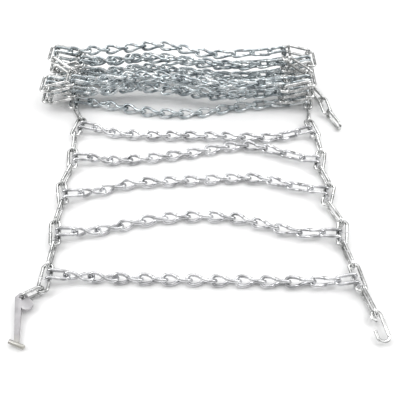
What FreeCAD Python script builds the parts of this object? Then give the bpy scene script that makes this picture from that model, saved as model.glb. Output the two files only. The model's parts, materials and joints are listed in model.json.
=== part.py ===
import FreeCAD, Part
import math
import os
import Sketcher

# Tire snow chains: a ladder of sixteen rungs for a small tractor or snow thrower tire.
# Two side chains run along Y. Cross chains (rungs) of twist links join them every second
# side link. The first five rungs lie spread out; the others are gathered in a bundle,
# where the side chains coil up in two square coils at each end, one behind the other.
# Frame: +X right, +Y towards the bundle, +Z up, the floor is z = 0. Lengths in millimetres.

V = FreeCAD.Vector
UP = V(0, 0, 1)

doc = FreeCAD.newDocument("tire_snow_chains")

# ------------------------------------------------------------------ driving dimensions
DIMENSIONS = [
    ("wire_diameter", 3.8, "round steel wire of every link and hook"),
    ("joint_clearance", 0.56, "gap between the two wires where links meet"),
    ("link_inside_width", 6.4, "inside width of twist links and side links"),
    ("twist_inside_length", 26.0, "inside length of a cross chain link"),
    ("side_inside_length", 32.0, "inside length of a side chain link"),
    ("keeper_inside_length", 18.0, "inside length of the ring that holds the lever"),
    ("hook_reach", 18.5, "from the side link's bar to the far wire of the hook's eye"),
    ("hook_finger_spacing", 10.0, "between the two fingers of a cross hook"),
    ("hook_finger_radius", 4.2, "bend of a finger round the side link's bar"),
    ("end_hook_eye_radius", 4.9, "centreline of the end hook's eye"),
    ("end_hook_bend_radius", 5.6, "centreline of the end hook's mouth"),
    ("end_hook_shank", 22.0, "straight shank of the end hook"),
    ("end_hook_tip", 7.0, "straight tip beside the end hook's mouth"),
    ("lever_thickness", 3.4, "plate of the fastener lever"),
    ("lever_hole_diameter", 6.2, "hole of the lever for the keeper ring"),
    ("lever_length", 51.0, "from the lever's hole to its crossbar"),
    ("lever_lobe_radius", 6.0, "round lobe beside the lever's hole"),
    ("lever_arm_offset", -2.6, "how far the arm's tip lies to the side of the hole"),
    ("lever_tip_width", 4.4, "the lever's arm where it meets its crossbar"),
    ("lever_bar_diameter", 4.6, "crossbar at the lever's tip"),
    ("lever_bar_length", 16.5, "the same, end to end"),
]
sheet = doc.addObject("Spreadsheet::Sheet", "dimensions")
for row, (alias, value, note) in enumerate(DIMENSIONS, start=1):
    sheet.set("A%d" % row, alias)
    sheet.set("B%d" % row, str(value))
    sheet.set("C%d" % row, note)
    sheet.setAlias("B%d" % row, alias)
doc.recompute()


def size(alias):
    return float(getattr(sheet, alias))


WIRE = size("wire_diameter")
WIRE_GAP = WIRE + size("joint_clearance")
LINK_BEND = (size("link_inside_width") + WIRE) / 2
SIDE_HALF = (size("side_inside_length") + WIRE) / 2
TWIST_HALF = (size("twist_inside_length") + WIRE) / 2
KEEPER_HALF = (size("keeper_inside_length") + WIRE) / 2
HOOK_REACH = size("hook_reach")
FINGER_RADIUS = size("hook_finger_radius")
HOOK_TIP_ANGLE = 285.0            # degrees round the bar at which a finger ends, from the eye's side
END_HOOK_EYE = (-10.0, 220.0)     # degrees round the end hook's eye: its open end and a middle point
LEVER_LOBE_MIDDLE = (9.0, 5.0)    # middle of the lever's round lobe, from its hole
LEVER_KNEE = [(-4.5, 3.5), (-5.5, -2.0), (-1.0, -7.0)]   # corners of the knee round the hole
LEVER_BAR_TURN = -30.0            # degrees, how far the crossbar is set aslant
LEVER_BAR_AHEAD = 1.0             # how far the crossbar's middle lies past the arm's end


# ------------------------------------------------------------------ one of each piece
def arc(start, middle, end):
    return Part.Arc(start, middle, end).toShape()


def origin_plane(body, role):
    return [f for f in body.Origin.OriginFeatures if f.Role == role][0]


def sketch_on(body, name, plane):
    """An empty sketch on one of a body's own planes."""
    sketch = body.newObject("Sketcher::SketchObject", name)
    sketch.AttachmentSupport = (origin_plane(body, plane), "")
    sketch.MapMode = "FlatFace"
    return sketch


def bind(sketch, constraint, expression):
    """Adds a dimension to a sketch and binds it to the sheet."""
    sketch.setExpression("Constraints[%d]" % sketch.addConstraint(constraint), expression)


def oval_link(name, length_alias):
    """A flat oval link: two straight wires and two half-round ends, swept from sketches."""
    body = doc.addObject("PartDesign::Body", name)
    path = sketch_on(body, name + "_path", "XY_Plane")
    half = (size(length_alias) - size("link_inside_width")) / 2
    bend = LINK_BEND
    quarter = math.pi / 2
    path.addGeometry(Part.LineSegment(V(-half, -bend, 0), V(half, -bend, 0)))
    path.addGeometry(Part.ArcOfCircle(Part.Circle(V(half, 0, 0), UP, bend), -quarter, quarter))
    path.addGeometry(Part.LineSegment(V(half, bend, 0), V(-half, bend, 0)))
    path.addGeometry(Part.ArcOfCircle(Part.Circle(V(-half, 0, 0), UP, bend), quarter, 3 * quarter))
    for first, first_end, second, second_end in ((0, 2, 1, 1), (1, 2, 2, 1), (2, 2, 3, 1), (3, 2, 0, 1)):
        path.addConstraint(Sketcher.Constraint("Tangent", first, first_end, second, second_end))
    path.addConstraint(Sketcher.Constraint("Horizontal", 0))
    path.addConstraint(Sketcher.Constraint("Symmetric", 1, 3, 3, 3, -1, 1))
    bend_expression = "(dimensions.link_inside_width + dimensions.wire_diameter) / 2"
    bind(path, Sketcher.Constraint("Radius", 1, bend), bend_expression)
    bind(path, Sketcher.Constraint("DistanceX", 0, 1, 0, 2, 2 * half),
         "dimensions.%s - dimensions.link_inside_width" % length_alias)
    section = sketch_on(body, name + "_wire", "YZ_Plane")
    section.addGeometry(Part.Circle(V(-bend, 0, 0), UP, WIRE / 2))
    section.addConstraint(Sketcher.Constraint("PointOnObject", 0, 3, -1))
    bind(section, Sketcher.Constraint("DistanceX", 0, 3, -1, 1, bend), bend_expression)
    bind(section, Sketcher.Constraint("Diameter", 0, WIRE), "dimensions.wire_diameter")
    pipe = body.newObject("PartDesign::AdditivePipe", name + "_sweep")
    pipe.Profile = section
    pipe.Spine = (path, [])
    return body


def wire_section(name, point, direction):
    """A bound wire-sized circle that stands across the start of a path."""
    circle = doc.addObject("Part::Circle", name)
    circle.setExpression("Radius", "dimensions.wire_diameter / 2")
    circle.Placement = FreeCAD.Placement(point, FreeCAD.Rotation(UP, direction))
    return circle


def swept_wire(name, edges, point, direction):
    """A solid wire swept along edges that start at point in the given direction."""
    path = doc.addObject("Part::Feature", name + "_path")
    path.Shape = Part.Wire(edges)
    sweep = doc.addObject("Part::Sweep", name)
    sweep.Sections = [wire_section(name + "_wire", point, direction)]
    sweep.Spine = (path, ["Edge%d" % (i + 1) for i in range(len(edges))])
    sweep.Solid = True
    return sweep


def twist_link():
    """A link with its left end in the XY plane and its right end in the XZ plane."""
    bend = LINK_BEND
    half = TWIST_HALF - bend
    shift = bend * math.sqrt(2)
    turn = 2 * math.atan(shift / (2 * half))
    radius = half / math.sin(turn)

    def strand(side):
        """Two equal arcs from the left end's wire to the right end's wire."""
        across = V(0, -side, side) * (1 / math.sqrt(2))

        def at(along, off):
            return V(-half + along, side * bend, 0) + across * off

        quarter = radius * math.sin(turn / 2)
        rise = radius * (1 - math.cos(turn / 2))
        return [arc(at(0, 0), at(quarter, rise), at(half, shift / 2)),
                arc(at(half, shift / 2), at(2 * half - quarter, shift - rise), at(2 * half, shift))]

    left = [arc(V(-half, -bend, 0), V(-half - bend, 0, 0), V(-half, bend, 0))] + strand(1)
    right = [arc(V(half, 0, bend), V(half + bend, 0, 0), V(half, 0, -bend))]
    right = right + [edge.reversed() for edge in reversed(strand(-1))]
    first = swept_wire("twist_link_first_half", left, V(-half, -bend, 0), V(-1, 0, 0))
    second = swept_wire("twist_link_second_half", right, V(half, 0, bend), V(1, 0, 0))
    link = doc.addObject("Part::Fuse", "twist_link")
    link.Base = first
    link.Tool = second
    return link


def cross_hook():
    """A U of wire. Its two fingers curl over, through and under a bar along Y at the origin;
    its eye lies towards +X."""
    half = size("hook_finger_spacing") / 2
    radius = FINGER_RADIUS
    tip_angle = math.radians(HOOK_TIP_ANGLE)

    def on_curl(angle, y):
        return V(radius * math.cos(angle), y, radius * math.sin(angle))

    top = math.pi / 2
    eye_start = HOOK_REACH - half
    edges = [arc(on_curl(tip_angle, -half), on_curl((tip_angle + top) / 2, -half), on_curl(top, -half)),
             Part.LineSegment(V(0, -half, radius), V(eye_start, -half, radius)).toShape(),
             arc(V(eye_start, -half, radius), V(HOOK_REACH, 0, radius), V(eye_start, half, radius)),
             Part.LineSegment(V(eye_start, half, radius), V(0, half, radius)).toShape(),
             arc(on_curl(top, half), on_curl((tip_angle + top) / 2, half), on_curl(tip_angle, half))]
    heading = V(math.sin(tip_angle), 0, -math.cos(tip_angle))
    return swept_wire("cross_hook", edges, on_curl(tip_angle, -half), heading)


def end_hook():
    """A J hook: an open eye round the origin, a shank along +X and a mouth that opens back."""
    eye = size("end_hook_eye_radius")
    bend = size("end_hook_bend_radius")
    shank = size("end_hook_shank")
    tip_length = size("end_hook_tip")
    eye_tip, middle = [math.radians(angle) for angle in END_HOOK_EYE]

    def on_eye(angle):
        return V(eye * math.cos(angle), eye * math.sin(angle), 0)

    edges = [arc(on_eye(eye_tip), on_eye(middle), V(0, eye, 0)),
             Part.LineSegment(V(0, eye, 0), V(shank, eye, 0)).toShape(),
             arc(V(shank, eye, 0), V(shank + bend, eye - bend, 0), V(shank, eye - 2 * bend, 0)),
             Part.LineSegment(V(shank, eye - 2 * bend, 0),
                              V(shank - tip_length, eye - 2 * bend, 0)).toShape()]
    heading = V(math.sin(eye_tip), -math.cos(eye_tip), 0)
    return swept_wire("end_hook_wire", edges, on_eye(eye_tip), heading)


def lever():
    """A bent flat lever: a knee with a hole, a round lobe to one side and a tapering arm that
    ends in a crossbar set aslant. The hole is at the origin and the arm runs along +X."""
    body = doc.addObject("PartDesign::Body", "lever_plate")
    outline = sketch_on(body, "lever_outline", "XY_Plane")
    reach = size("lever_length")
    lobe = size("lever_lobe_radius")
    tip_half = size("lever_tip_width") / 2
    arm = size("lever_arm_offset")
    lobe_middle = V(*LEVER_LOBE_MIDDLE, 0)
    lobe_start, lobe_end = math.radians(-60), math.radians(120)

    def on_lobe(angle):
        return lobe_middle + V(lobe * math.cos(angle), lobe * math.sin(angle), 0)

    knee = [V(x, y, 0) for x, y in LEVER_KNEE]
    tip = [V(reach, arm - tip_half, 0), V(reach, arm + tip_half, 0)]
    corners = [on_lobe(lobe_end)] + knee + tip + [on_lobe(lobe_start)]
    for start, end in zip(corners[:-1], corners[1:]):
        outline.addGeometry(Part.LineSegment(start, end))
    outline.addGeometry(Part.ArcOfCircle(Part.Circle(lobe_middle, UP, lobe), lobe_start, lobe_end))
    sides = len(corners)
    tip_side = 1 + len(knee)
    for side in range(sides):
        outline.addConstraint(Sketcher.Constraint("Coincident", side, 2, (side + 1) % sides, 1))
    outline.addConstraint(Sketcher.Constraint("Vertical", tip_side))
    bind(outline, Sketcher.Constraint("Radius", sides - 1, lobe), "dimensions.lever_lobe_radius")
    bind(outline, Sketcher.Constraint("DistanceX", -1, 1, tip_side, 1, reach), "dimensions.lever_length")
    bind(outline, Sketcher.Constraint("DistanceY", tip_side, 1, tip_side, 2, 2 * tip_half),
         "dimensions.lever_tip_width")
    pad = body.newObject("PartDesign::Pad", "lever_pad")
    pad.Profile = outline
    pad.setExpression("Length", "dimensions.lever_thickness")
    pad.Midplane = True
    doc.recompute()
    hole = sketch_on(body, "lever_hole_outline", "XY_Plane")
    hole.addGeometry(Part.Circle(V(0, 0, 0), UP, size("lever_hole_diameter") / 2))
    hole.addConstraint(Sketcher.Constraint("Coincident", 0, 3, -1, 1))
    bind(hole, Sketcher.Constraint("Diameter", 0, size("lever_hole_diameter")),
         "dimensions.lever_hole_diameter")
    pocket = body.newObject("PartDesign::Pocket", "lever_hole")
    pocket.Profile = hole
    pocket.Type = "ThroughAll"
    pocket.Midplane = True
    bar = doc.addObject("Part::Cylinder", "lever_tip_bar")
    bar.setExpression("Radius", "dimensions.lever_bar_diameter / 2")
    bar.setExpression("Height", "dimensions.lever_bar_length")
    turn = FreeCAD.Rotation(UP, LEVER_BAR_TURN) * FreeCAD.Rotation(V(1, 0, 0), -90)
    bar_half = turn.multVec(V(0, 0, size("lever_bar_length") / 2))
    bar.Placement = FreeCAD.Placement(V(reach + LEVER_BAR_AHEAD, arm, 0) - bar_half, turn)
    whole = doc.addObject("Part::Fuse", "lever")
    whole.Base = body
    whole.Tool = bar
    return whole


SIDE_LINK = oval_link("side_link", "side_inside_length")
KEEPER_LINK = oval_link("keeper_link", "keeper_inside_length")
TWIST_LINK = twist_link()
CROSS_HOOK = cross_hook()
END_HOOK = end_hook()
LEVER = lever()


# ------------------------------------------------------------------ placing the pieces
def unit(vector):
    return vector * (1 / vector.Length)


def direction(heading, rise=0.0):
    """A unit vector: heading in degrees from +X towards +Y, rise in degrees upwards."""
    flat = math.cos(math.radians(rise))
    return V(flat * math.cos(math.radians(heading)), flat * math.sin(math.radians(heading)),
             math.sin(math.radians(rise)))


def crossways(along, roll):
    """The unit vector across a link that is rolled by so many degrees from level."""
    level = unit(UP.cross(along))
    steep = along.cross(level)
    return level * math.cos(math.radians(roll)) + steep * math.sin(math.radians(roll))


class Piece:
    """One placed piece: its own X runs along it and its own Y is its width."""

    def __init__(self, kind, centre, along, across):
        self.kind = kind
        self.centre = centre
        self.along = unit(along)
        self.across = unit(across - self.along * across.dot(self.along))

    def placement(self):
        x, y, z = self.along, self.across, self.along.cross(self.across)
        matrix = FreeCAD.Matrix(x.x, y.x, z.x, self.centre.x, x.y, y.y, z.y, self.centre.y,
                                x.z, y.z, z.z, self.centre.z, 0, 0, 0, 1)
        return FreeCAD.Placement(matrix)

    def at(self, x, y, z):
        """A point given in the piece's own axes."""
        return self.placement().multVec(V(x, y, z))


def beyond(point, axis, next_axis, along, gap=WIRE_GAP):
    """The next end wire's centre, where it hangs in the wire at point: the two wires cross,
    and the next one lies one wire and the clearance back along their common normal."""
    normal = unit(axis.cross(next_axis))
    if normal.dot(along) < 0:
        normal = normal * -1
    return point - normal * gap


def side_piece(point, axis, along, roll, half=SIDE_HALF, kind=SIDE_LINK):
    """A side link that hangs in the wire at point."""
    across = crossways(along, roll)
    return Piece(kind, beyond(point, axis, across, along) + along * half, along, across)


PIVOT = SIDE_HALF - WIRE_GAP   # from a flat side link's centre to the upright link's end wire
FLAT, UPRIGHT = 0, 90          # rolls of the hooked and of the free side links


def side_chain(stations, headings):
    """Hooked links near the stations, with free links between them. Each free link aims at
    the next station and keeps its length, so the stations give way and not the links."""
    ahead = direction(headings[0])
    hooked = [Piece(SIDE_LINK, stations[0], ahead, crossways(ahead, FLAT))]
    free = []
    for station, heading in zip(stations[1:], headings[1:]):
        before = hooked[-1]
        ahead = direction(heading)
        start = before.centre + before.along * PIVOT
        along = unit(station - ahead * PIVOT - start)
        free.append(Piece(SIDE_LINK, start + along * SIDE_HALF, along, crossways(along, UPRIGHT)))
        centre = start + along * (2 * SIDE_HALF) + ahead * PIVOT
        hooked.append(Piece(SIDE_LINK, centre, ahead, crossways(ahead, FLAT)))
    return hooked, free


def hook_on(link, towards, slide, lean):
    """A cross hook on the bar of a flat link that faces the given side, slid along the bar
    in that link's own direction and leaning down to its eye by so many degrees."""
    side = 1 if link.across.dot(towards) > 0 else -1
    outward = link.across * side
    bar = link.centre + outward * LINK_BEND + link.along * slide
    leaning = outward * math.cos(math.radians(lean)) - UP * math.sin(math.radians(lean))
    return Piece(CROSS_HOOK, bar, leaning, UP.cross(outward))


def hook_eye(hook):
    """The centre of the far wire of a hook's eye."""
    return hook.at(HOOK_REACH, 0, FINGER_RADIUS)


ROLLS = [84, 68, 56, 48, 45, 45, 45, 42, 34, 22, 6]   # a cross chain's links, left to right


def smooth_route(points):
    curve = Part.BSplineCurve()
    curve.interpolate(points)
    return [V(p.x, p.y, max(p.z, CHAIN_LEVEL)) for p in curve.discretize(Number=400)]


def pursue(route, index, point, reach):
    """The first route point after index that is at least reach away from point."""
    while index < len(route) - 1 and (route[index] - point).Length < reach:
        index = index + 1
    if index == 0 or index == len(route) - 1:
        return route[index], index
    near, far = (route[index - 1] - point).Length, (route[index] - point).Length
    share = (reach - near) / (far - near) if far > near else 0
    return route[index - 1] + (route[index] - route[index - 1]) * share, index


def lay_links(route, first_axis, slack):
    """Twist links along a route that starts midway between the first two wires. Slack is
    how far each joint lies short of a taut one."""
    links = []
    joint, axis = route[0], first_axis
    point = route[0] + unit(route[1] - route[0]) * (WIRE_GAP / 2)
    gap = WIRE_GAP
    index = 0
    for roll in ROLLS:
        target, index = pursue(route, index, joint, 2 * TWIST_HALF - WIRE_GAP - slack)
        along = unit(target - joint)
        across = crossways(along, roll)
        centre = beyond(point, axis, across, along, gap) + along * TWIST_HALF
        gap = WIRE_GAP + slack
        link = Piece(TWIST_LINK, centre, along, across)
        links.append(link)
        point = centre + along * TWIST_HALF
        axis = along.cross(across)
        joint = point - along * (gap / 2)
    return links, joint


def cross_chain(left_hook, right_hook, via, slack=0.0):
    """Eleven links from one hook's eye to the other's. The route bows through the via points,
    and the bow is scaled until the links fit it exactly."""
    start_wire, end_wire = hook_eye(left_hook), hook_eye(right_hook)
    run = unit(end_wire - start_wire)
    start = start_wire - left_hook.along * (WIRE_GAP / 2)
    end = end_wire - right_hook.along * (WIRE_GAP / 2)
    overrun = 40.0

    def lay(bow):
        points = [start]
        for point in via:
            foot = start + run * (point - start).dot(run)
            foot.z = point.z
            points.append(foot + (point - foot) * bow)
        route = smooth_route(points + [end])
        last = unit(end - route[-8])
        route = route + [end + last * (step * overrun / 20) for step in range(1, 21)]
        links, joint = lay_links(route, left_hook.across, slack)
        return links, (joint - end).dot(last)

    low, high = 0.0, 3.0
    for step in range(24):
        middle = (low + high) / 2
        links, excess = lay(middle)
        if excess > 0:
            low = middle
        else:
            high = middle
    return links


# ------------------------------------------------------------------ the spread ladder
LINK_LEVEL = 7.1        # height of the side chains' centreline
CHAIN_LEVEL = 5.9       # height of the cross chains' centreline on the floor
NEAR_HOOK_LEVEL = 7.2   # the same beside the hooks


def flat_points(pairs, level):
    return [V(x, y, level) for x, y in pairs]


def chain_points(pairs, lift=0):
    """Via points on the floor: the steeper links beside the hooks stand a little higher."""
    points = flat_points(pairs, CHAIN_LEVEL + lift)
    points[0].z = points[-1].z = NEAR_HOOK_LEVEL
    return points


LEVEL_STEP = 8.9        # rise from one side link station to the next in a coil
FRONT_COIL, BACK_COIL = 303.0, 349.6   # Y of the coils' middles
COIL_WIDTH = math.sqrt((2 * SIDE_HALF) ** 2 - LEVEL_STEP ** 2)
LEFT_INNER, RIGHT_OUTER = -172.0, 147.0
CROSSING = BACK_COIL - FRONT_COIL - 2 * PIVOT   # how far back the link between the coils reaches
BACK_SHIFT = COIL_WIDTH - math.sqrt((2 * SIDE_HALF) ** 2 - CROSSING ** 2 - LEVEL_STEP ** 2)

# Rungs 6 to 10 climb the front coils and rungs 11 to 16 come down the back ones. Where a
# rung hangs from an inner link on the left, it hangs from an outer one on the right.
coil_rungs = list(range(6, 17))


def coil_station(rung, right):
    level = LINK_LEVEL + LEVEL_STEP * (rung - 6 if rung <= 10 else 16 - rung)
    inner_left = rung % 2 == 0
    if right:
        x = RIGHT_OUTER if inner_left else RIGHT_OUTER - COIL_WIDTH
    else:
        x = LEFT_INNER if inner_left else LEFT_INNER - COIL_WIDTH
    if rung <= 10:
        return V(x, FRONT_COIL, level)
    return V(x + BACK_SHIFT, BACK_COIL, level)


def coil_heading(rung):
    """Coils are walked to and fro: odd and even stations run opposite ways."""
    if rung <= 10:
        return 90 if rung % 2 == 0 else 270
    return 90 if rung % 2 == 1 else 270


left_stations = flat_points([(-160, -5.6), (-160, 56), (-161.5, 118.5), (-158, 181), (-159, 243.5)],
                            LINK_LEVEL)
right_stations = flat_points([(163, -4.6), (157, 58), (149, 120), (147.5, 182.5), (146, 245)],
                             LINK_LEVEL)
left_stations = left_stations + [coil_station(rung, False) for rung in coil_rungs]
right_stations = right_stations + [coil_station(rung, True) for rung in coil_rungs]
left_headings = [88, 98, 102, 96, 80] + [coil_heading(rung) for rung in coil_rungs]
right_headings = [97, 80, 74, 78, 102] + [coil_heading(rung) for rung in coil_rungs]

left_hooked, left_free = side_chain(left_stations, left_headings)
right_hooked, right_free = side_chain(right_stations, right_headings)

SPREAD_SLIDE = [(3, -3.4), (-2, -4.7), (-4.7, 2.6), (-1, -2.5), (1.5, -4.7)]   # left and right
SPREAD_LEAN, COIL_LEAN = 9.0, 13.0    # degrees, how far the hooks lean down to their eyes
LANE = 8.0             # the cross chains leave a coil this far in front of or behind its middle
LANE_INSET = 1.0       # and start this much closer to it
OUTER_LANE_START, INNER_LANE_START, LANE_END = -164.0, -130.0, 103.0   # X of the lanes' ends
SWING_START, SWING_LENGTH = -146.0, 250.0    # one whole sway of the bundled cross chains
SWAY_STATIONS = (-98, -62, -25, 10, 38)      # X of the points they are led through
FRONT_SWAY = (3.0, 15.0, 0.0)                # drift back, depth of the sway and shift to the right
BACK_SWAY = (1.0, 11.0, BACK_SHIFT)
STRAY = 5.0                                  # how far each one strays from that, up and down too
STRAY_TURN, STRAY_STEP = 0.055, 3.1          # radians for each millimetre and for each rung
SWAY_MIDDLE, SWAY_SPAN = -30.0, 170.0        # they stray most at the middle and not at the ends
INNER_SLIDE, OUTER_SLIDE = 4.7, 4.7   # how far the coils' hooks sit from the middle of their bars


def coil_slide(rung, right):
    """Along +Y: rungs of even number keep to the front lane of their coil, odd ones to the back."""
    inner = (rung % 2 == 0) != right
    amount = INNER_SLIDE if inner else OUTER_SLIDE
    return -amount if rung % 2 == 0 else amount


def hooks_for(rung):
    left, right = left_hooked[rung - 1], right_hooked[rung - 1]
    if rung < 6:
        left_slide, right_slide = SPREAD_SLIDE[rung - 1]
        lean = SPREAD_LEAN
    else:
        lean = COIL_LEAN
        left_slide = coil_slide(rung, False) * (1 if left.along.y > 0 else -1)
        right_slide = coil_slide(rung, True) * (1 if right.along.y > 0 else -1)
    return hook_on(left, V(1, 0, 0), left_slide, lean), hook_on(right, V(-1, 0, 0), right_slide, lean)


# Where each spread cross chain bows between its hooks.
SPREAD_VIA = {
    1: [(-117, -9), (-65, -20), (0, -24), (65, -25), (116, -17)],
    2: [(-119, 60), (-70, 75), (-8, 84), (45, 80), (100, 60)],
    3: [(-122, 124), (-98, 139), (-48, 149), (20, 156), (80, 152), (112, 133)],
    4: [(-112, 180), (-61, 183), (7, 194), (55, 201), (100, 190)],
    5: [(-118, 234), (-82, 227), (-20, 225), (48, 222), (105, 224.5)],
    6: [(-108, 281), (-70, 266), (-30, 260), (4, 265), (36, 278), (66, 286), (98, 293)],
}
SPREAD_SLACK = {3: 0.4, 4: 0.9, 5: 1.3}                 # loosely laid joints
CHAIN_LIFT = {2: 0.3, 3: 0.4, 4: 0.7, 5: 1.3, 6: 0.4}   # the loose ones pitch and need this height


def bundle_via(rung, level):
    """The bundled cross chains keep to their lanes inside the coils, and between the coils
    they swing together: back on the left, forward on the right."""
    front = rung <= 10
    coil = FRONT_COIL if front else BACK_COIL
    side = -1 if rung % 2 == 0 else 1
    drift, swing, shift = FRONT_SWAY if front else BACK_SWAY
    if side > 0:
        points = [V(OUTER_LANE_START + shift, coil + LANE - LANE_INSET, level)]
    else:
        points = [V(INNER_LANE_START + shift, coil - INNER_SLIDE - LANE_INSET, level)]
    for x in SWAY_STATIONS:
        turn = math.sin(2 * math.pi * (x - SWING_START) / SWING_LENGTH)
        loose = STRAY * math.cos(math.pi * (x - SWAY_MIDDLE) / SWAY_SPAN)
        back = loose * math.sin(STRAY_TURN * x + STRAY_STEP * rung)
        rise = loose * math.cos(STRAY_TURN * x - STRAY_STEP * rung)
        points.append(V(x + shift, coil + drift + side * LANE + swing * turn + back,
                        max(level + rise, LINK_LEVEL)))
    if side < 0:
        points.append(V(LANE_END + shift, coil - LANE, level))
    return points


hooks, chains = {}, {}
for rung in range(1, 17):
    hooks[rung] = hooks_for(rung)
    if rung in SPREAD_VIA:
        via = chain_points(SPREAD_VIA[rung], CHAIN_LIFT.get(rung, 0))
    else:
        via = bundle_via(rung, left_hooked[rung - 1].centre.z)
    chains[rung] = cross_chain(hooks[rung][0], hooks[rung][1], via, SPREAD_SLACK.get(rung, 0))

# ------------------------------------------------------------------ the ends of the side chains
first_left, first_right = left_hooked[0], right_hooked[0]
last_left, last_right = left_hooked[-1], right_hooked[-1]

keeper_ring = side_piece(first_left.at(-SIDE_HALF, 0, 0), first_left.across, direction(212),
                         UPRIGHT, KEEPER_HALF, KEEPER_LINK)
lever_along = direction(277, -4.0)
fastener_lever = Piece(LEVER, keeper_ring.at(KEEPER_HALF, 0, 0), lever_along, crossways(lever_along, FLAT))

end_link = side_piece(first_right.at(-SIDE_HALF, 0, 0), first_right.across, direction(-76), UPRIGHT)
hook_along = direction(-80, -6.0)
j_hook = Piece(END_HOOK, end_link.at(SIDE_HALF, 0, 0), hook_along, crossways(hook_along, FLAT))

far_link = side_piece(last_left.at(SIDE_HALF, 0, 0), last_left.across, direction(199), UPRIGHT)
tail = [side_piece(last_right.at(SIDE_HALF, 0, 0), last_right.across, direction(-65), UPRIGHT)]
tail.append(side_piece(tail[0].at(SIDE_HALF, 0, 0), tail[0].across, direction(-84), FLAT))
tail.append(side_piece(tail[1].at(SIDE_HALF, 0, 0), tail[1].across, direction(-70), UPRIGHT))


# ------------------------------------------------------------------ one named node per piece
nodes = []


def node(label, pieces):
    """A node of separate solids: a link to each piece's pattern at its own place."""
    members = []
    for number, piece in enumerate(pieces, start=1):
        member = doc.addObject("App::Link", "%s_piece_%02d" % (label, number))
        member.LinkedObject = piece.kind
        member.Placement = piece.placement()
        members.append(member)
    whole = doc.addObject("Part::Compound", label)
    whole.Label = label
    whole.Links = members
    nodes.append(whole)


SPREAD = range(1, 6)
for rung in SPREAD:
    node("cross_chain_%d" % rung, chains[rung])
    node("cross_hooks_%d" % rung, hooks[rung])
    node("hooked_link_left_%d" % rung, [left_hooked[rung - 1]])
    node("hooked_link_right_%d" % rung, [right_hooked[rung - 1]])
    node("free_link_left_%d" % rung, [left_free[rung - 1]])
    node("free_link_right_%d" % rung, [right_free[rung - 1]])

BUNDLED = range(6, 17)
for rung in BUNDLED:
    node("bundle_cross_chain_%d" % rung, chains[rung])
node("bundle_cross_hooks_left", [hooks[rung][0] for rung in BUNDLED])
node("bundle_cross_hooks_right", [hooks[rung][1] for rung in BUNDLED])
node("bundle_hooked_links_left", left_hooked[5:])
node("bundle_hooked_links_right", right_hooked[5:])
node("bundle_free_links_left", left_free[5:] + [far_link])
node("bundle_free_links_right", right_free[5:])

node("keeper_ring", [keeper_ring])
node("fastener_lever", [fastener_lever])
node("end_link_right", [end_link])
node("end_hook", [j_hook])
for number, piece in enumerate(tail, start=1):
    node("tail_link_%d" % number, [piece])

doc.recompute()
FINE = 0.2    # chord error of the meshes the true extents are taken from
box = FreeCAD.BoundBox()
for whole in nodes:
    for point in whole.Shape.tessellate(FINE)[0]:
        box.add(point)
to_origin = V(-box.Center.x, -box.Center.y, -box.ZMin)
for whole in nodes:
    whole.Placement = FreeCAD.Placement(to_origin, FreeCAD.Rotation())
doc.recompute()

for item in doc.Objects:
    if "Invalid" in item.State or "Error" in item.State:
        raise RuntimeError("failed object: " + item.Name)
os.makedirs("parts", exist_ok=True)
for whole in nodes:
    shape = whole.Shape
    if shape.isNull() or not shape.isValid():
        raise RuntimeError("bad shape: " + whole.Label)
    shape.exportStep("parts/%s.step" % whole.Label)
print("nodes %d, size %.1f x %.1f x %.1f mm" % (len(nodes), box.XLength, box.YLength, box.ZLength))
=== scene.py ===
import json
import math

import bmesh
import bpy
import numpy as np
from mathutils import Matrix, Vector


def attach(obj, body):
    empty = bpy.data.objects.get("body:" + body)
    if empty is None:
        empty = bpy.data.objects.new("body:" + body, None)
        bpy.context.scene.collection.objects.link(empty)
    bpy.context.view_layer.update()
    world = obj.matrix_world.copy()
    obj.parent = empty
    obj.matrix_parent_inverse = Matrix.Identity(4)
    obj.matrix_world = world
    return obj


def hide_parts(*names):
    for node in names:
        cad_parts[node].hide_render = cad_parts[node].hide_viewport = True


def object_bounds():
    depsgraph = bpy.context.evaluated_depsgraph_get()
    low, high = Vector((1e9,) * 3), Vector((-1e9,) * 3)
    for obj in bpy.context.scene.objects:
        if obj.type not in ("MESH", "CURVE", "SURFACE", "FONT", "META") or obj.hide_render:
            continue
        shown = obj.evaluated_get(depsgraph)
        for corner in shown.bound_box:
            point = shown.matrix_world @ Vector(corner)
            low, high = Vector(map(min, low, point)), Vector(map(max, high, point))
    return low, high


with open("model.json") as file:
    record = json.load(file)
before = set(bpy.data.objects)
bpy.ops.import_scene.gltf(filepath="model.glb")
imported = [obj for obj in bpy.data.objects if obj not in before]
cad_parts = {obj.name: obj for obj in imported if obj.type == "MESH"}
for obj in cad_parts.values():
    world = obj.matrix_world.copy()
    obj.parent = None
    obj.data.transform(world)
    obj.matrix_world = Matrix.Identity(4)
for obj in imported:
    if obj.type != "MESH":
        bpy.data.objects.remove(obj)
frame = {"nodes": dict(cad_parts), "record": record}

# Tire snow chains on a pale studio floor. The links and hooks are the CAD's own solids. This
# script gives them their zinc plating, adds the links' weld marks, rounds the lever's edges,
# and sets the floor, the lights and the camera. Lengths are in metres.

CAD_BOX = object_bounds()
SLOTS = {entry["node"]: entry["material_slot"] for entry in frame["record"]["subparts"]}


# ------------------------------------------------------------------ materials
def node_of(tree, kind, **settings):
    """A new shader node, with settings for its sockets or its own properties."""
    node = tree.nodes.new(kind)
    for name, value in settings.items():
        if name in node.inputs:
            node.inputs[name].default_value = value
        else:
            setattr(node, name, value)
    return node


ANY_POSITION = 0.5     # a new stop's place before it gets its own


def ramp_of(tree, source, stops):
    """A colour ramp fed by source, with (position, colour) stops."""
    ramp = tree.nodes.new("ShaderNodeValToRGB")
    tree.links.new(source, ramp.inputs["Fac"])
    elements = ramp.color_ramp.elements
    while len(elements) < len(stops):
        elements.new(ANY_POSITION)
    for element, (position, colour) in zip(elements, stops):
        element.position = position
        element.color = (*colour, 1.0)
    return ramp.outputs["Color"]


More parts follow.
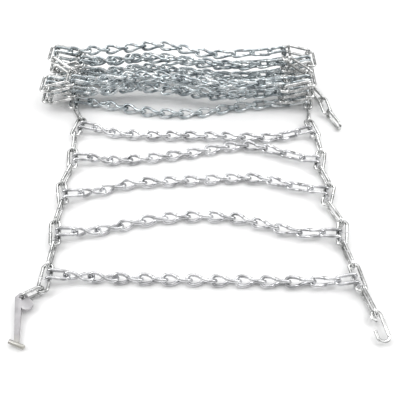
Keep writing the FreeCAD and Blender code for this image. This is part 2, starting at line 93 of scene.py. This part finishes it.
NOISE_LOW, NOISE_HIGH = 0.3, 0.7    # nearly all of a noise lies between these


def value_ramp(tree, source, low, high, start=NOISE_LOW, end=NOISE_HIGH):
    """A number that runs from low to high as source runs from start to end."""
    node = node_of(tree, "ShaderNodeMapRange", **{
        "From Min": start, "From Max": end, "To Min": low, "To Max": high})
    tree.links.new(source, node.inputs["Value"])
    return node.outputs["Result"]


CLOUD_DETAIL = 3.0


def noise(tree, place, scale, detail=CLOUD_DETAIL):
    """A noise between 0 and 1; detail is how many finer layers it has."""
    node = node_of(tree, "ShaderNodeTexNoise", Scale=scale, Detail=detail)
    tree.links.new(place, node.inputs["Vector"])
    return node.outputs["Fac"]


PATCH_SCALE = 90.0     # clouds of the plating's tint, about 10 mm
PATCH_STOPS = (0.36, 0.5, 0.64)         # where the tint is dull, clear and bright
GRAIN_SCALE, GRAIN_DETAIL = 700.0, 4.0  # patches of gloss, about 1.5 mm
PIT_SCALE, PIT_DETAIL = 1600.0, 2.0     # shallow pits, about 0.6 mm
PIT_STRENGTH, PIT_DEPTH = 0.25, 0.0001


def zinc(name, dull, clear, bright, rough_low, rough_high):
    """Bright zinc plating: a cloudy tint, uneven gloss and fine pits."""
    material = bpy.data.materials.new(name)
    material.use_nodes = True
    tree = material.node_tree
    shader = tree.nodes["Principled BSDF"]
    shader.inputs["Metallic"].default_value = 1.0
    place = tree.nodes.new("ShaderNodeTexCoord").outputs["Object"]
    patches = noise(tree, place, PATCH_SCALE)
    grain = noise(tree, place, GRAIN_SCALE, GRAIN_DETAIL)
    pits = noise(tree, place, PIT_SCALE, PIT_DETAIL)
    tint = ramp_of(tree, patches, list(zip(PATCH_STOPS, (dull, clear, bright))))
    tree.links.new(tint, shader.inputs["Base Color"])
    tree.links.new(value_ramp(tree, grain, rough_low, rough_high), shader.inputs["Roughness"])
    bump = node_of(tree, "ShaderNodeBump", Strength=PIT_STRENGTH, Distance=PIT_DEPTH)
    tree.links.new(pits, bump.inputs["Height"])
    tree.links.new(bump.outputs["Normal"], shader.inputs["Normal"])
    return material


# each plating: its dull, clear and bright tint, and its least and most roughness
PLATING = {
    "zinc_cross_chain": zinc("cross_chain_zinc", (0.42, 0.425, 0.435), (0.66, 0.665, 0.68),
                             (0.87, 0.875, 0.89), 0.08, 0.24),
    "zinc_side_chain": zinc("side_chain_zinc", (0.40, 0.405, 0.40), (0.64, 0.645, 0.64),
                            (0.86, 0.865, 0.86), 0.08, 0.24),
    "zinc_lever": zinc("lever_zinc", (0.43, 0.42, 0.43), (0.49, 0.48, 0.495),
                       (0.55, 0.54, 0.55), 0.34, 0.48),
}
# A darker, bluer and more uneven copy of the cross chains' plating for the chains in the bundle:
# painted shade that falls within the pile.
BUNDLE_PAINTED_SHADE_PLATING = zinc("bundled_cross_chain_zinc_painted_shade", (0.26, 0.29, 0.31), (0.55, 0.60, 0.62),
                      (0.84, 0.87, 0.88), 0.08, 0.25)

TIP_TINT = (0.50, 0.49, 0.45)
TIP_START, TIP_END = 0.003, 0.016    # from the lever's front edge, where the tint fades
FIRST_COLOUR, SECOND_COLOUR, MIXED_COLOUR = 6, 7, 2    # the colour sockets of a Mix node


def tint_tip(material, lever):
    """A slightly yellow cast on the lever's crossbar and the end of its arm."""
    tree = material.node_tree
    shader = tree.nodes["Principled BSDF"]
    plain = shader.inputs["Base Color"].links[0].from_socket
    split = tree.nodes.new("ShaderNodeSeparateXYZ")
    tree.links.new(tree.nodes.new("ShaderNodeTexCoord").outputs["Object"], split.inputs["Vector"])
    front = min(corner[1] for corner in lever.bound_box)
    amount = value_ramp(tree, split.outputs["Y"], 1.0, 0.0, front + TIP_START, front + TIP_END)
    mix = node_of(tree, "ShaderNodeMix", data_type="RGBA")
    tree.links.new(amount, mix.inputs["Factor"])
    tree.links.new(plain, mix.inputs[FIRST_COLOUR])
    mix.inputs[SECOND_COLOUR].default_value = (*TIP_TINT, 1.0)
    tree.links.new(mix.outputs[MIXED_COLOUR], shader.inputs["Base Color"])


tint_tip(PLATING["zinc_lever"], frame["nodes"]["fastener_lever"])

WELD_ZINC = zinc("weld_zinc", (0.34, 0.345, 0.35), (0.52, 0.525, 0.53),
                 (0.70, 0.705, 0.71), 0.22, 0.42)

SHARP_ANGLE = 40.0     # degrees: a wire's facets meet at less and shade as round

for name, node in frame["nodes"].items():
    node.data.materials.clear()
    bundled = name.startswith("bundle_cross")
    # the chains in the bundle take the darker copy of the plating, painted shade of the pile
    node.data.materials.append(BUNDLE_PAINTED_SHADE_PLATING if bundled else PLATING[SLOTS[name]])
    node.data.shade_smooth()
    node.data.set_sharp_from_angle(angle=math.radians(SHARP_ANGLE))


# ------------------------------------------------------------------ the lever's worn edges
EDGE_ROUND = 0.0005    # how far the stamped plate's edges are rounded
EDGE_STEPS = 3
EDGE_PROFILE = 0.5     # a round edge
SAME_POINT = 1e-6      # corners nearer to each other than this are one
LEVEL_ANGLE = 1.0      # degrees: faces that meet at less than this become one


def worn_lever():
    """The lever with rounded edges, in place of the CAD's sharp-edged one."""
    source = frame["nodes"]["fastener_lever"]
    shape = bmesh.new()
    shape.from_mesh(source.data)
    bmesh.ops.remove_doubles(shape, verts=shape.verts[:], dist=SAME_POINT)
    bmesh.ops.dissolve_limit(shape, angle_limit=math.radians(LEVEL_ANGLE),
                             verts=shape.verts[:], edges=shape.edges[:])
    sharp = [edge for edge in shape.edges
             if edge.is_manifold and edge.calc_face_angle() > math.radians(SHARP_ANGLE)]
    bmesh.ops.bevel(shape, geom=sharp, offset=EDGE_ROUND, segments=EDGE_STEPS,
                    profile=EDGE_PROFILE, affect="EDGES", clamp_overlap=True)
    mesh = bpy.data.meshes.new("worn_lever")
    shape.to_mesh(mesh)
    shape.free()
    mesh.materials.append(PLATING["zinc_lever"])
    mesh.shade_smooth()
    mesh.set_sharp_from_angle(angle=math.radians(SHARP_ANGLE))
    lever = bpy.data.objects.new("worn_lever", mesh)
    bpy.context.scene.collection.objects.link(lever)
    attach(lever, "fastener_lever")
    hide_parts("fastener_lever")


worn_lever()


# ------------------------------------------------------------------ weld marks
WELD_HALF = 0.0013     # half the length of a weld mark along the wire
WELD_PROUD = 0.0003    # how far it stands out of the wire
WELD_UNEVEN = 0.00008  # how far its lumps rise and fall
WELD_LUMPS = 3         # lumps round the wire
WELD_SUNK = 0.0001     # its ends lie this far inside the wire
WELD_SIDES, WELD_RINGS = 14, 7
ANY_DIRECTION = (0.3, 0.5, 0.8)    # one that no wire runs along
UPRIGHT_LINK = 0.5     # a link whose width rises more steeply than this is upright
UNWELDED = ("cross_hooks", "end_hook", "fastener_lever")


def mesh_arrays(mesh):
    """A mesh's points and its triangles' corners."""
    points = np.empty(len(mesh.vertices) * 3)
    mesh.vertices.foreach_get("co", points)
    mesh.calc_loop_triangles()
    corners = np.empty(len(mesh.loop_triangles) * 3, dtype=np.int32)
    mesh.loop_triangles.foreach_get("vertices", corners)
    return points.reshape(-1, 3), corners.reshape(-1, 3)


def piece_numbers(points, corners):
    """For each triangle, a number that is the same all over one separate piece."""
    merged = np.unique(np.round(points / SAME_POINT), axis=0, return_inverse=True)[1].reshape(-1)
    triangles = merged[corners]
    labels = np.arange(merged.max() + 1)
    while True:
        lowest = labels[triangles].min(axis=1)
        spread = labels.copy()
        for corner in range(3):
            np.minimum.at(spread, triangles[:, corner], lowest)
        spread = spread[spread]
        if (spread == labels).all():
            return labels[triangles[:, 0]]
        labels = spread


def links_of(node):
    """Each separate link of a node: its middle, its long axis, its axis across, and its size
    along both and through."""
    points, corners = mesh_arrays(node.data)
    numbers = piece_numbers(points, corners)
    links = []
    for number in np.unique(numbers):
        a, b, c = (points[corners[numbers == number][:, k]] for k in range(3))
        areas = np.linalg.norm(np.cross(b - a, c - a), axis=1)
        middles = (a + b + c) / 3
        centre = np.average(middles, axis=0, weights=areas)
        offsets = middles - centre
        axes = np.linalg.eigh((offsets * areas[:, None]).T @ offsets)[1]
        reach = (a - centre) @ axes
        through, width, length = reach.max(axis=0) - reach.min(axis=0)
        links.append((centre, axes[:, 2], axes[:, 1], length, width, through))
    return links


def weld_place(link, twisted, wire, bend):
    """Where a link's weld is, on the wire that faces up or outwards, and along which direction
    the wire runs there."""
    centre, along, across, length = link[:4]
    faces_up = twisted or abs(across[2]) > UPRIGHT_LINK
    if (across[2] if faces_up else across[0] * centre[0]) < 0:
        across = -across
    if not twisted:
        return centre + across * bend, along
    # a twist link's wire leans this far from the link's axis as it passes the middle
    turn = 2 * math.atan(bend * math.sqrt(2) / (length - wire - 2 * bend))
    wire_runs = along * math.cos(turn) + np.cross(along, across) * math.sin(turn)
    return centre + across * (bend / math.sqrt(2)), wire_runs


def weld_mark(place, along, radius, phase):
    """A closed, slightly uneven barrel round the wire."""
    side = np.cross(along, ANY_DIRECTION)
    side = side / np.linalg.norm(side)
    other = np.cross(along, side)
    points = [place - along * WELD_HALF]
    for ring in range(WELD_RINGS):
        t = 2 * ring / (WELD_RINGS - 1) - 1
        swell = math.cos(t * math.pi / 2)
        for step in range(WELD_SIDES):
            angle = 2 * math.pi * step / WELD_SIDES
            uneven = WELD_UNEVEN * math.sin(WELD_LUMPS * angle + phase) * swell
            out = radius - WELD_SUNK + (WELD_SUNK + WELD_PROUD) * swell + uneven
            around = side * math.cos(angle) + other * math.sin(angle)
            points.append(place + along * (t * WELD_HALF) + around * out)
    points.append(place + along * WELD_HALF)
    faces = []
    for step in range(WELD_SIDES):
        following = (step + 1) % WELD_SIDES
        faces.append((0, 1 + following, 1 + step))
        for ring in range(WELD_RINGS - 1):
            low, high = 1 + ring * WELD_SIDES, 1 + (ring + 1) * WELD_SIDES
            faces.append((low + step, low + following, high + following, high + step))
        last = 1 + (WELD_RINGS - 1) * WELD_SIDES
        faces.append((last + step, last + following, len(points) - 1))
    return points, faces


def weld_marks():
    """One object of weld marks for each node of links, on that node's body."""
    bodies = {name: body for body, names in frame["record"]["behaviour"]["bodies"].items()
              for name in names}
    plain = links_of(frame["nodes"]["tail_link_1"])[0]
    wire = plain[5]
    bend = (plain[4] - wire) / 2
    for name, node in frame["nodes"].items():
        if any(word in name for word in UNWELDED):
            continue
        points, faces = [], []
        for count, link in enumerate(links_of(node)):
            place, along = weld_place(link, "cross_chain" in name, wire, bend)
            mark_points, mark_faces = weld_mark(place, along, wire / 2, float(count))
            faces.extend(tuple(len(points) + corner for corner in face) for face in mark_faces)
            points.extend(mark_points)
        mesh = bpy.data.meshes.new("weld_marks_" + name)
        mesh.from_pydata([tuple(point) for point in points], [], faces)
        mesh.shade_smooth()
        mesh.materials.append(WELD_ZINC)
        marks = bpy.data.objects.new("weld_marks_" + name, mesh)
        bpy.context.scene.collection.objects.link(marks)
        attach(marks, bodies[name])


weld_marks()


# ------------------------------------------------------------------ floor, lights and camera
FLOOR_REACH = 30.0     # far enough for a level view to see no edge
FLOOR_CORNERS = [(-1, -1), (1, -1), (1, 1), (-1, 1)]
FLOOR_TINTS = [(NOISE_LOW, (0.93, 0.93, 0.93)), (NOISE_HIGH, (0.95, 0.95, 0.95))]
FLOOR_CLOUDS = 3.0     # scale of its faint unevenness
FLOOR_ROUGHNESS = 0.75


def floor():
    """A plain, nearly white floor."""
    material = bpy.data.materials.new("pale_floor")
    material.use_nodes = True
    tree = material.node_tree
    shader = tree.nodes["Principled BSDF"]
    shader.inputs["Roughness"].default_value = FLOOR_ROUGHNESS
    place = tree.nodes.new("ShaderNodeTexCoord").outputs["Object"]
    tint = ramp_of(tree, noise(tree, place, FLOOR_CLOUDS), FLOOR_TINTS)
    tree.links.new(tint, shader.inputs["Base Color"])
    mesh = bpy.data.meshes.new("floor")
    mesh.from_pydata([(x * FLOOR_REACH, y * FLOOR_REACH, 0) for x, y in FLOOR_CORNERS],
                     [], [(0, 1, 2, 3)])
    mesh.materials.append(material)
    plane = bpy.data.objects.new("floor", mesh)
    bpy.context.scene.collection.objects.link(plane)


# name, place in metres, width and depth in metres, power in watts
SOFTBOXES = [
    ("left_softbox", (-1.3, -0.1, 1.2), 0.9, 1.4, 11),
    ("right_softbox", (1.3, 0.1, 1.2), 0.9, 1.4, 11),
    ("back_softbox", (0, 1.5, 1.5), 1.6, 0.7, 9),
]


def softbox(name, place, width, depth, power):
    """A rectangular light that faces the middle of the floor."""
    light = bpy.data.lights.new(name, "AREA")
    light.shape = "RECTANGLE"
    light.size = width
    light.size_y = depth
    light.energy = power
    lamp = bpy.data.objects.new(name, light)
    lamp.location = place
    lamp.rotation_mode = "QUATERNION"
    lamp.rotation_quaternion = (-Vector(place)).to_track_quat("-Z", "Y")
    bpy.context.scene.collection.objects.link(lamp)


# height above the horizon, and how bright the sky is there
SKY = [(0.0, 0.01), (0.3, 0.10), (0.6, 0.80), (1.0, 1.0)]
SKY_STRENGTH = 1.0


def surroundings():
    """A bright sky that darkens to the horizon, so that round wires show dark edges."""
    world = bpy.data.worlds.new("studio")
    world.use_nodes = True
    bpy.context.scene.world = world
    tree = world.node_tree
    background = tree.nodes["Background"]
    place = tree.nodes.new("ShaderNodeTexCoord").outputs["Generated"]
    split = tree.nodes.new("ShaderNodeSeparateXYZ")
    tree.links.new(place, split.inputs["Vector"])
    sky = ramp_of(tree, split.outputs["Z"], [(height, (grey,) * 3) for height, grey in SKY])
    tree.links.new(sky, background.inputs["Color"])
    background.inputs["Strength"].default_value = SKY_STRENGTH


LOW, HIGH = CAD_BOX
CENTRE = (LOW + HIGH) / 2
AIM_RIGHT, AIM_NEAR, AIM_RISE = 0.0143, 0.0256, 0.0004    # from the middle of the box's floor
VIEW_AIM = Vector((CENTRE.x + AIM_RIGHT, CENTRE.y - AIM_NEAR, LOW.z + AIM_RISE))
VIEW_DISTANCE = 0.7587   # from the aim to the camera
VIEW_HEIGHT = 45.0       # degrees above the horizon
VIEW_LENS = 58.05        # millimetres
VIEW_SENSOR = 36.0       # millimetres wide


def camera():
    """The photograph's view, from the front."""
    data = bpy.data.cameras.new("camera")
    data.lens = VIEW_LENS
    data.sensor_width = VIEW_SENSOR
    eye = bpy.data.objects.new("camera", data)
    rise = math.radians(VIEW_HEIGHT)
    eye.location = VIEW_AIM + Vector((0, -math.cos(rise), math.sin(rise))) * VIEW_DISTANCE
    eye.rotation_mode = "QUATERNION"
    eye.rotation_quaternion = (VIEW_AIM - eye.location).to_track_quat("-Z", "Y")
    bpy.context.scene.collection.objects.link(eye)
    bpy.context.scene.camera = eye


floor()
surroundings()
for name, place, width, depth, power in SOFTBOXES:
    softbox(name, place, width, depth, power)
camera()
bpy.context.scene.view_settings.view_transform = "Standard"
